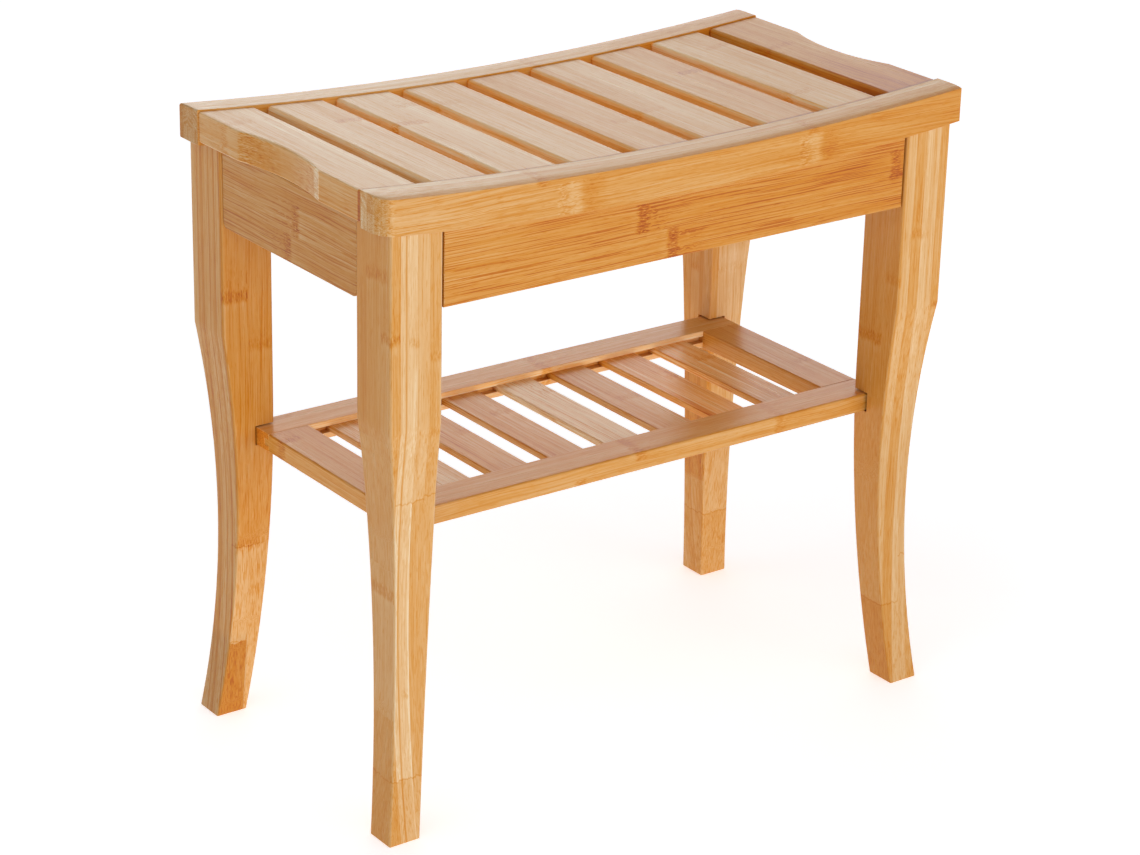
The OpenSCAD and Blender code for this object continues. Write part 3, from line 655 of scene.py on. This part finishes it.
# painted shade: the faces along X darker by a gain
m = bamboo("bamboo_apron_left", "YZX", [(-242.0, -234.5, 0.49, 0.47), (-234.5, -227.0, 0.34, 0.42)],
           strips=[(390.0, 413.2, 0.03, 0.03), (413.2, 434.8, -0.01, -0.01), (434.8, 450.0, 0.0, 0.0)],
           spots=[(-10, 413.2, 436, None, None, 0.9), (0, 390, 413.2, None, None, 0.8)], seed=31.0, fine=0.70, streak=0.38,
           lines=0.30, grainy=0.018, shade=[("X", 0.785)])
end_apron("left_apron", -1, m)
m = bamboo("bamboo_apron_right", "YZX", [(227.0, 234.5, 0.42, 0.34), (234.5, 242.0, 0.42, 0.44)],
           strips=[(390.0, 411.0, 0.0, 0.0), (411.0, 432.8, -0.03, -0.03), (432.8, 450.0, 0.02, 0.0)],
           spots=[(30, 411, 433, None, None, 1.2), (-45, 390, 411, None, None, 1.1)], seed=35.0)
end_apron("right_apron", 1, m)


# ---------------------------------------------------------------- legs
def leg(name, sx, sy, mat):
    zs = [0.0, 3.0] + [12.0 * k for k in range(1, 18)] + [212.0]
    notch0, notch1, flat = SZ, SZ + STH + 0.8, AZ + 3.0
    zs = [z for z in zs if z < notch0 - 4]
    verts, faces, soft = [], [], {}

    def add(x, y, z):
        verts.append((sx * x, sy * y, z))
        return len(verts) - 1

    def points(z, kind):
        xo, yo = LX - outer(z), LY - outer(z)
        xi, yi = LX - inner(z, WX), LY - inner(z, WY)
        if kind == "low":
            k = max(0.0, min(1.0, z / notch0))
            d3, d5 = 14.4 * k + 8.0 * (1 - k), 15.2 * k + 8.0 * (1 - k)
            return [(xo, yo), (xi, yo), (xi, yi + d3), (xi, yi), (xi + d5, yi), (xo, yi)]
        if kind == "notch":
            return [(xo, yo), (xi, yo), (xi, SDY + 2.0), (SDX + 1.0, SDY + 2.0), (SDX + 1.0, yi), (xo, yi)]
        if kind == "mid":
            k = (z - notch1) / (flat - notch1)
            y3, x5 = SDY + 2.0 + (LYI + 7.29 - SDY) * k, SDX + 1.0 + (LXI + 7.79 - SDX) * k
            return [(xo, yo), (xi, yo), (xi, y3), (xi, yi), (x5, yi), (xo, yi)]
        return [(xo, yo), (xi, yo), (xi, LYI + 8.49), (LXI + 4.243, LYI + 4.243), (LXI + 8.49, yi), (xo, yi)]

    def ring(z, kind, share=None):
        """One ring; share gives the five vertices other than the inner corner from an earlier ring."""
        pts = points(z, kind)
        if share is None:
            return [add(x, y, z) for x, y in pts]
        out = list(share)
        out[3] = add(*pts[3], z)
        return out

    def skin(r0, r1, w):
        for j in range(6):
            k = (j + 1) % 6
            faces.append((r0[j], r0[k], r1[k], r1[j]))
            if w[j]:
                soft[(min(r0[j], r1[j]), max(r0[j], r1[j]))] = w[j]

    plain = (1.9, 1.9, 0, 1.7, 0, 1.9)
    cut = (1.9, 1.9, 0.5, 0, 0.5, 1.9)
    prev = ring(zs[0], "low")
    bottom = list(prev)
    for z in zs[1:] + [notch0]:
        cur = ring(z, "low")
        skin(prev, cur, plain)
        prev = cur
    # ledge under the shelf's corner
    nxt = ring(notch0, "notch", prev)
    faces.append((prev[2], prev[3], prev[4], nxt[3]))
    for a_, b_ in ((prev[2], nxt[3]), (nxt[3], prev[4])):
        soft[(min(a_, b_), max(a_, b_))] = 0.0
    for a_, b_ in ((prev[2], prev[3]), (prev[3], prev[4])):
        soft[(min(a_, b_), max(a_, b_))] = 0.5
    prev = nxt
    cur = ring(notch1, "notch")
    skin(prev, cur, cut)
    prev = cur
    nxt = ring(notch1, "mid", prev)
    faces.append((prev[2], prev[3], prev[4], nxt[3]))
    for a_, b_ in ((prev[2], nxt[3]), (nxt[3], prev[4])):
        soft[(min(a_, b_), max(a_, b_))] = 0.5
    prev = nxt
    for z in (248.0, 256.0, 270.0, 284.0, 298.0, 306.5, 310.0, 313.5, 330.0, 360.0, flat):
        cur = ring(z, "mid")
        skin(prev, cur, plain)
        prev = cur
    nxt = ring(flat, "top", prev)
    faces.append((prev[2], prev[3], prev[4], nxt[3]))
    prev = nxt
    pts = points(430.0, "top")
    cur = [add(x, y, under_z(x)) for x, y in pts]
    skin(prev, cur, (1.9, 1.9, 0, 0, 0, 1.9))
    faces.append(tuple(bottom))
    faces.append(tuple(cur))
    for j in range(6):
        k = (j + 1) % 6
        soft[(min(bottom[j], bottom[k]), max(bottom[j], bottom[k]))] = 1.0
        soft[(min(cur[j], cur[k]), max(cur[j], cur[k]))] = 0.4
    soft = {k: v for k, v in soft.items() if v > 0}
    return piece(name, verts, faces, soft, mat, name, 3)


# front left: layers across its length, so its front shows their edges
# painted shade: the side faces darker by a gain, and darker in the shelf's notch
m = bamboo("bamboo_leg_front_left", "ZYX",
           [(-245.0, -240.0, 0.40, 0.40), (-240.0, -234.4, 0.38, 0.40), (-234.4, -230.8, 0.17, 0.15), (-230.8, -229.4, 0.42, 0.38),
            (-229.4, -222.4, 0.18, 0.16), (-222.4, -221.3, 0.16, 0.16), (-221.3, -211.8, 0.27, 0.25), (-211.8, -200.0, 0.37, 0.34)],
           strips=[(-134.0, -119.5, 0.0, 0.0), (-119.5, -101.5, 0.03, 0.05), (-101.5, -86.0, 0.11, 0.09)],
           spots=[(376, -134, -119, -243, -234.8, 0.9, "small"), (418, -127, -101, -243, -238, 0.6), (371, -134, -110, -228, -220, 0.5, "small"),
                  (358, -134, -100, -211.5, -201, 0.5, "small"), (304, -134, -100, -211.5, -201, 0.4, "small"),
                  (110, -134, -100, -228, -222, 0.4, "small"), (185, -120, -90, -236, -231, 0.6)],
           joints=[(255, -134, -86, -234.8, -222.4, -0.01), (255, -134, -86, -222.4, -221.3, -0.10), (255, -134, -86, -221.3, -211.8, 0.10), (257, -134, -86, -211.8, -200, -0.02),
                   (47, -134, -86, -245, -234.8, 0.04), (47, -134, -86, -234.8, -221.3, 0.12), (47, -134, -86, -221.3, -211, -0.05)],
           patches=[(203, 300, -134, -86, 0.40, 0.85), (92, 203, -134, -86, 0.35, 0.85), (-9, 92, -134, -86, 0.43, 0.8)],
           seed=41.0, arris=0.12, fine=0.34, streak=0.16, lines=0.10, shade=[("X", 0.875)],
           painted_light_zones=[(-217.7, -203.0, -103.5, -90.0, 221.2, 236.6, 0.50, 0.45, 0.3)])
leg("leg_front_left", -1, -1, m)
# back left: layers across its depth
# painted light and shade: the side faces darker and the front and back faces lighter by gains, darker in the shelf's
# notch and at the foot
m = bamboo("bamboo_leg_back_left", "ZXY",
           [(86.0, 91.5, 0.60, 0.54), (91.5, 97.0, 0.30, 0.28), (97.0, 99.4, 0.56, 0.54), (99.4, 105.0, 0.36, 0.35), (105.0, 106.4, 0.58, 0.58),
            (106.4, 110.5, 0.29, 0.29), (110.5, 114.0, 0.37, 0.37), (114.0, 117.4, 0.58, 0.54), (117.4, 120.6, 0.38, 0.38),
            (120.6, 122.3, 0.58, 0.58), (122.3, 133.0, 0.29, 0.25)],
           strips=[(-245.0, -222.0, 0.0, 0.0), (-222.0, -200.0, 0.03, 0.0)],
           spots=[(339, -245, -222, 86, 91, 0.7), (300, -222, -200, 86, 91, 0.4), (142, -236, -213, 86, 95, 0.6), (104, -222, -200, 86, 97, 0.3)],
           patches=[(142, 470, -245, -200, 0.46, 0.9), (62, 142, -236.5, -222, 0.31, 0.95), (62, 142, -245, -236.5, 0.36, 0.9),
                    (-9, 62, -245, -222, 0.66, 0.95), (-9, 142, -222, -200, 0.35, 0.95)],
           joints=[(62, -236.5, -222, 86, 112, 0.0), (142, -236.5, -213, 86, 100, 0.0)],
           seed=47.0, arris=0.06, fine=0.44, streak=0.20, lines=0.18, side=0.07, shade=[("X", 0.83), ("Y", 1.04)],
           painted_light_zones=[(-217.7, -203.0, 90.0, 103.5, 221.2, 236.6, 0.50, 0.45, 0.3), (-246.0, -221.0, 84.0, 134.0, -12.0, 66.0, -0.02, 0.89, 8.0)])
leg("leg_back_left", -1, 1, m)
# front right: layers across its length
# painted shade: darker in the shelf's notch, and darker by a gain from the shelf down
m = bamboo("bamboo_leg_front_right", "ZYX",
           [(200.0, 202.6, 0.66, 0.50), (202.6, 203.6, 0.50, 0.26), (203.6, 210.8, 0.27, 0.22), (210.8, 220.6, 0.41, 0.39), (220.6, 227.6, 0.17, 0.22), (227.6, 230.6, 0.28, 0.27),
            (230.6, 233.6, 0.22, 0.24), (233.6, 245.0, 0.34, 0.42)],
           strips=[(-134.0, -115.5, 0.02, 0.0), (-115.5, -86.0, 0.0, 0.03)],
           spots=[(368, -134, -118, 211, 222, 0.5, "small"), (309, -134, -110, 235, 243, 0.8, "small"), (283, -115.5, -89, 200, 203.5, 0.7),
                  (333, -131, -116, 200, 203.5, 0.4), (366, -134, -118, 221, 228, 0.3, "small")],
           patches=[(236, 470, -134, -86, 0.43, 0.9), (66, 236, -134, -86, 0.43, 0.85), (-9, 66, -134, -86, 0.51, 0.85)],
           joints=[(66, -134, -86, 200, 226, 0.04), (104, -134, -118, 226, 245, 0.0)], seed=53.0, arris=0.07, fine=0.36, streak=0.18,
           lines=0.12, painted_light_zones=[(203.0, 217.7, -103.5, -90.0, 221.2, 236.6, 0.60, 0.22, 0.3), (198.0, 246.0, -134.0, -84.0, -70.0, 230.0, 0.03, 0.92, 60.0)])
leg("leg_front_right", 1, -1, m)
# back right: layers across its depth
# painted light and shade: the side, front and back faces lighter by gains, darker in the shelf's notch and lower down,
# and lighter on the front between the shelf and the seat
m = bamboo("bamboo_leg_back_right", "ZXY",
           [(86.0, 92.0, 0.33, 0.30), (92.0, 98.8, 0.30, 0.30), (98.8, 103.0, 0.46, 0.44), (103.0, 104.0, 0.34, 0.34), (104.0, 113.6, 0.34, 0.30),
            (113.6, 114.8, 0.50, 0.46), (114.8, 124.0, 0.38, 0.34), (124.0, 133.0, 0.26, 0.26)],
           strips=[(200.0, 203.5, 0.18, 0.18), (203.5, 208.5, 0.20, 0.16), (208.5, 222.0, 0.0, 0.0), (222.0, 245.0, -0.03, 0.0)],
           spots=[(272, 208, 236, 86, 93, 0.4, "pale"), (275, 200, 207, 104, 114, 0.5, "small")],
           along=[(-1, 215, 0.08, 0.08), (215, 470, -0.07, -0.07)],
           patches=[(60, 215, 207.5, 245, 0.22, 0.85), (-9, 60, 200, 245, 0.29, 0.9)],
           joints=[(60, 200, 245, 86, 133, 0.03)], seed=59.0, arris=0.06, fine=0.40, streak=0.20, shade=[("X", 1.05), ("Y", 1.04)],
           painted_light_zones=[(203.0, 217.7, 90.0, 103.5, 221.2, 236.6, 0.50, 1.0, 0.3), (198.0, 246.0, 84.0, 134.0, -70.0, 200.0, 0.0, 0.965, 50.0),
                  (198.0, 203.0, 84.0, 134.0, 225.0, 400.0, 0.0, 1.10, 20.0), (203.0, 246.0, 84.0, 134.0, 225.0, 400.0, 0.0, 1.06, 20.0)])
leg("leg_back_right", 1, 1, m)


# ---------------------------------------------------------------- shelf
SYI, SXI, SM = SDY - SRW, SDX - SEW, SZ + STH / 2


def shelf_long(name, s, mat):
    h = SST / 2
    sec = [(SDY, SZ + STH), (SYI, SZ + STH), (SYI, SM + h), (SYI + GROOVE, SM + h), (SYI + GROOVE, SM - h), (SYI, SM - h),
           (SYI, SZ), (SDY, SZ)]
    rings = [[(-SDX + 2 * SDX * k / 8, s * y, z) for y, z in sec] for k in range(9)]
    ends = (0.9, 0.6, 0.25, 0.25, 0.25, 0.6, 0.8, 0.9)
    v, f, so = loft(rings, (1.5, 1.0, 0.3, 0, 0, 0.3, 0.6, 1.2), ends, ends)
    return piece(name, v, f, so, mat, name)


def shelf_end(name, s, mat):
    h = SST / 2

    def body(y):
        return [(s * SXI, y, SZ), (s * SDX, y, SZ), (s * SDX, y, SZ + STH), (s * SXI, y, SZ + STH)]

    def tongue(y):
        return [(s * (SXI + 0.4), y, SM - h), (s * (SDX - 0.4), y, SM - h), (s * (SDX - 0.4), y, SM + h), (s * (SXI + 0.4), y, SM + h)]

    t_ = SYI + GROOVE - 0.1
    rings = [tongue(-t_), tongue(-SYI), body(-SYI)] + [body(-SYI + 2 * SYI * k / 6) for k in range(1, 7)] + [tongue(SYI), tongue(t_)]
    v, f, so = loft(rings, (0, 0, 0, 0), (0.1,) * 4, (0.1,) * 4)
    for k in range(2, 8):
        for j, r in enumerate((0.8, 1.2, 1.5, 1.0)):
            so[(k * 4 + j, (k + 1) * 4 + j)] = r
    return piece(name, v, f, so, mat, name)


def shelf_slat(i, mat):
    gap = (2 * SXI - 7 * SSW) / 8
    x0 = -SXI + gap * i + SSW * (i - 1)
    x1, h, y1 = x0 + SSW, SST / 2, SYI + GROOVE - 0.1
    rings = [[(x0, y, SM + h), (x1, y, SM + h), (x1, y, SM - h), (x0, y, SM - h)] for y in (-y1, -y1 / 2, 0.0, y1 / 2, y1)]
    v, f, so = loft(rings, (0.9, 0.9, 0.6, 0.6), (0.2,) * 4, (0.2,) * 4)
    return piece("shelf_slat_%d" % i, v, f, so, mat, "shelf_slat_%d" % i)


# painted light: the end faces lighter by a gain
m = bamboo("bamboo_shelf_front", "XZY", [(-101.5, -93.0, 0.40, 0.38), (-93.0, -83.0, 0.34, 0.38), (-83.0, -71.0, 0.42, 0.36)],
           spots=[(-9, 229, 236, None, None, .8), (-62, 220, 226, None, None, .8), (120, 220, 236, None, None, .5)],
           along=[(-217, 0, -0.02, 0.0), (0, 217, 0.0, 0.05)], seed=61.0, arris=-0.05, end=0.26, shade=[("X", 1.2)])
shelf_long("shelf_front_rail", -1, m)
# painted light: the end faces and the front and back faces lighter by gains
m = bamboo("bamboo_shelf_back", "XZY", [(70.0, 72.6, 0.18, 0.18), (72.6, 81.0, 0.42, 0.36), (81.0, 92.0, 0.36, 0.34), (92.0, 101.5, 0.34, 0.40)],
           spots=[(30, 220, 236, None, None, .8)], seed=64.0, arris=-0.02, end=0.34, shade=[("X", 1.2), ("Y", 1.35)])
shelf_long("shelf_back_rail", 1, m)
# painted shade: the top and bottom darker by a gain
m = bamboo("bamboo_shelf_left", "YXZ", [(221.0, 228.5, 0.46, 0.42), (228.5, 236.0, 0.46, 0.42)],
           strips=[(-217.0, -199.0, 0.0, 0.0), (-199.0, -182.0, 0.04, 0.04)], spots=[(55, -217, -199, None, None, .8)], seed=67.0, arris=-0.05,
           shade=[("Z", 0.93)])
shelf_end("shelf_left_rail", -1, m)
m = bamboo("bamboo_shelf_right", "YXZ", [(221.0, 228.5, 0.46, 0.42), (228.5, 236.0, 0.44, 0.42)],
           strips=[(182.0, 200.0, 0.04, 0.02), (200.0, 217.0, -0.02, 0.0)], spots=[(-20, 200, 217, None, None, .6)], seed=71.0, arris=-0.05,
           along=[(-100, 0, 0.0, 0.0), (0, 100, 0.0, 0.08)])
shelf_end("shelf_right_rail", 1, m)
SS = {1: 0.26, 2: 0.38, 3: 0.37, 4: 0.05, 5: 0.41, 6: 0.36, 7: 0.31}
# tone darker towards both ends of the shelf slats, most at the back
darker_ends = [(-90.0, -74.0, 0.10, 0.0), (-74.0, 52.0, 0.0, 0.0), (52.0, 74.0, 0.0, 0.16), (74.0, 90.0, 0.16, 0.16)]
for i in range(1, 8):
    gap = (2 * SXI - 7 * SSW) / 8
    x0 = -SXI + gap * i + SSW * (i - 1)
    lay = [(225.5, 228.0, SS[i] + 0.06, SS[i] + 0.04), (228.0, 231.2, SS[i], SS[i])]
    cut = x0 + (12.0 if i % 2 else 19.0)
    st = [(x0 - 1, cut, 0.02, 0.02), (cut, x0 + SSW + 1, -0.03, -0.03)]
    if i == 6:
        st = [(x0 - 1, x0 + 6, 0.10, 0.10), (x0 + 6, x0 + 14, -0.08, -0.08), (x0 + 14, x0 + SSW + 1, 0.03, 0.03)]
    if i == 7:
        st = [(x0 - 1, x0 + 8, 0.08, 0.08), (x0 + 8, x0 + 14, -0.08, -0.08), (x0 + 14, x0 + 23, 0.06, 0.06), (x0 + 23, x0 + SSW + 1, -0.04, 0.0)]
    # painted light: slats 6 and 7 lighter by a gain that changes along them
    m = bamboo("bamboo_shelf_slat_%d" % i, "YXZ", lay, strips=st, spots=[(-25.0 + 17 * i - (60 if i > 4 else 0), cut, x0 + 32, None, None, .6)],
               along=darker_ends if i < 7 else None, seed=75.0 + 2.7 * i, arris=-0.06, streak=0.78, lines=0.30,
               painted_light_ramp={6: (-70.0, 60.0, 1.32, 1.20), 7: (-80.0, 60.0, 0.97, 1.34)}.get(i))
    shelf_slat(i, m)

# ---------------------------------------------------------------- inner pieces kept from the CAD
brace = {}
for n, sx, sy, seed in (("front_left", -1, -1, 91.0), ("front_right", 1, -1, 94.0), ("back_left", -1, 1, 97.0), ("back_right", 1, 1, 99.0)):
    b = bamboo("bamboo_brace_" + n, "XZY", [(-130, 0, 0.36, 0.36), (0, 130, 0.36, 0.36)], strips=[(390, 416, 0.03, 0.03), (416, 440, -0.03, -0.03)],
               seed=seed, rough=0.5)
    brace[n] = b
peg = bamboo("beech_dowel", "YXZ", [(0, 500, 0.16, 0.16), (500, 501, 0.2, 0.2)], seed=88.0, rough=0.6)
steel = metal("zinc_steel", (0.62, 0.63, 0.65), 0.32, 2.0, 0.6)
brassy = metal("insert_brass", (0.72, 0.56, 0.30), 0.34, 5.0, 3.0)
for node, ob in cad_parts.items():
    use = None
    if node.startswith("brace_") and node != "brace_screws":
        use = brace[node[6:]]
    elif node in ("brace_screws", "leg_bolts", "bolt_washers"):
        use = steel
    elif node == "leg_inserts":
        use = brassy
    elif node.endswith("dowels"):
        use = peg
    if use is not None and ob.type == "MESH":
        for s_ in ob.material_slots:
            s_.material = use
        if not ob.material_slots:
            ob.data.materials.append(use)
for m_ in MARK:
    bpy.data.materials.remove(m_)

# ---------------------------------------------------------------- stage
def floor_material():
    t = Tree("studio_floor")
    nt = t.nt
    co = nt.nodes.new("ShaderNodeTexCoord")
    n = t.noise(co.outputs["Object"], 3.0, 3.0)
    col = t.ramp(n.outputs["Fac"], [(0.3, (0.89, 0.895, 0.915)), (0.7, (0.92, 0.925, 0.945))], True)
    b = nt.nodes.new("ShaderNodeBsdfPrincipled")
    nt.links.new(col, b.inputs["Base Color"])
    b.inputs["Roughness"].default_value = 0.9
    b.inputs["Specular IOR Level"].default_value = 0.1
    nt.links.new(col, b.inputs["Emission Color"])
    b.inputs["Emission Strength"].default_value = 0.56
    o = nt.nodes.new("ShaderNodeOutputMaterial")
    nt.links.new(b.outputs[0], o.inputs[0])
    return t.mat


me = bpy.data.meshes.new("studio_floor")
me.from_pydata([(-30, -30, 0), (30, -30, 0), (30, 30, 0), (-30, 30, 0)], [], [(0, 1, 2, 3)])
me.materials.append(floor_material())
floor = bpy.data.objects.new("studio_floor", me)
scene.collection.objects.link(floor)

# studio surround: a bright band near the horizon, strongest behind the bench, darker overhead
world = bpy.data.worlds.new("studio")
scene.world = world
world.use_nodes = True
wt = world.node_tree
wt.nodes.clear()


class WTree(Tree):
    def __init__(self, nt):
        self.nt = nt


w = WTree(wt)
co = wt.nodes.new("ShaderNodeTexCoord")
sep = wt.nodes.new("ShaderNodeSeparateXYZ")
wt.links.new(co.outputs["Generated"], sep.inputs[0])
dx, dy, dz = sep.outputs
el = w.math("ARCSINE", dz)
band = w.span(el, math.radians(24), math.radians(46), 1.0, 0.0)
flat = w.math("SQRT", w.math("MAXIMUM", w.add(w.mul(dx, dx), w.mul(dy, dy)), 0.0001))


def toward(ax, ay, power):
    k = w.math("DIVIDE", w.add(w.mul(dx, ax), w.mul(dy, ay)), flat)
    return w.math("POWER", w.math("MAXIMUM", w.add(w.mul(k, 0.5), 0.5), 0.0), power)


back = toward(0.593, 0.805, 6.0)
frnt = toward(0.25, -0.97, 5.0)
left = w.mul(toward(-1.0, -0.15, 3.0), w.mul(w.span(el, math.radians(16), math.radians(32)), w.span(el, math.radians(58), math.radians(76), 1.0, 0.0)))
near = w.span(el, math.radians(3), math.radians(15), 1.0, 0.0)
under = w.add(w.mul(toward(0.25, -0.97, 4.0), 0.9), w.mul(toward(-1.0, -0.15, 4.0), 0.55))
low = w.mul(w.add(w.mul(back, 2.2), w.mul(frnt, 1.40)), band)
L = w.add(w.add(low, w.add(w.mul(left, 1.05), w.mul(near, under))), 0.07)
bg = wt.nodes.new("ShaderNodeBackground")
bg.inputs[0].default_value = (1.0, 0.995, 0.985, 1)
wt.links.new(L, bg.inputs[1])
wo = wt.nodes.new("ShaderNodeOutputWorld")
wt.links.new(bg.outputs[0], wo.inputs[0])


def softbox(name, at, to, size, power, color=(1, 1, 1)):
    d = bpy.data.lights.new(name, "AREA")
    d.shape, d.size, d.size_y = "RECTANGLE", *size
    d.energy, d.color = power, color
    o = bpy.data.objects.new(name, d)
    o.location = at
    o.rotation_euler = (Vector(to) - Vector(at)).to_track_quat("-Z", "Y").to_euler()
    o.visible_camera = False
    scene.collection.objects.link(o)
    return o


softbox("key", (0.7, -3.4, 0.72), (0, 0, 0.25), (2.6, 1.2), 9.6)

# ---------------------------------------------------------------- camera
cam = bpy.data.cameras.new("camera")
cam.sensor_width, cam.sensor_fit = 36.0, "HORIZONTAL"
cam.lens = 3184.2 / 1140 * 36.0
cam.clip_start, cam.clip_end = 0.05, 100.0
fw = Vector((0.54956, 0.74610, -0.37593)).normalized()
rt = Vector((0.81019, -0.58575, 0.02186))
rt = (rt - fw * rt.dot(fw)).normalized()
up = rt.cross(fw)
co_ = bpy.data.objects.new("camera", cam)
rot = Matrix((rt, up, -fw)).transposed().to_4x4()
co_.matrix_world = Matrix.Translation((-1.30174, -1.76833, 1.10869)) @ rot
scene.collection.objects.link(co_)
scene.camera = co_

scene.view_settings.view_transform = "Standard"
scene.view_settings.look = "None"
scene.view_settings.exposure = 0.0
scene.view_settings.gamma = 1.0
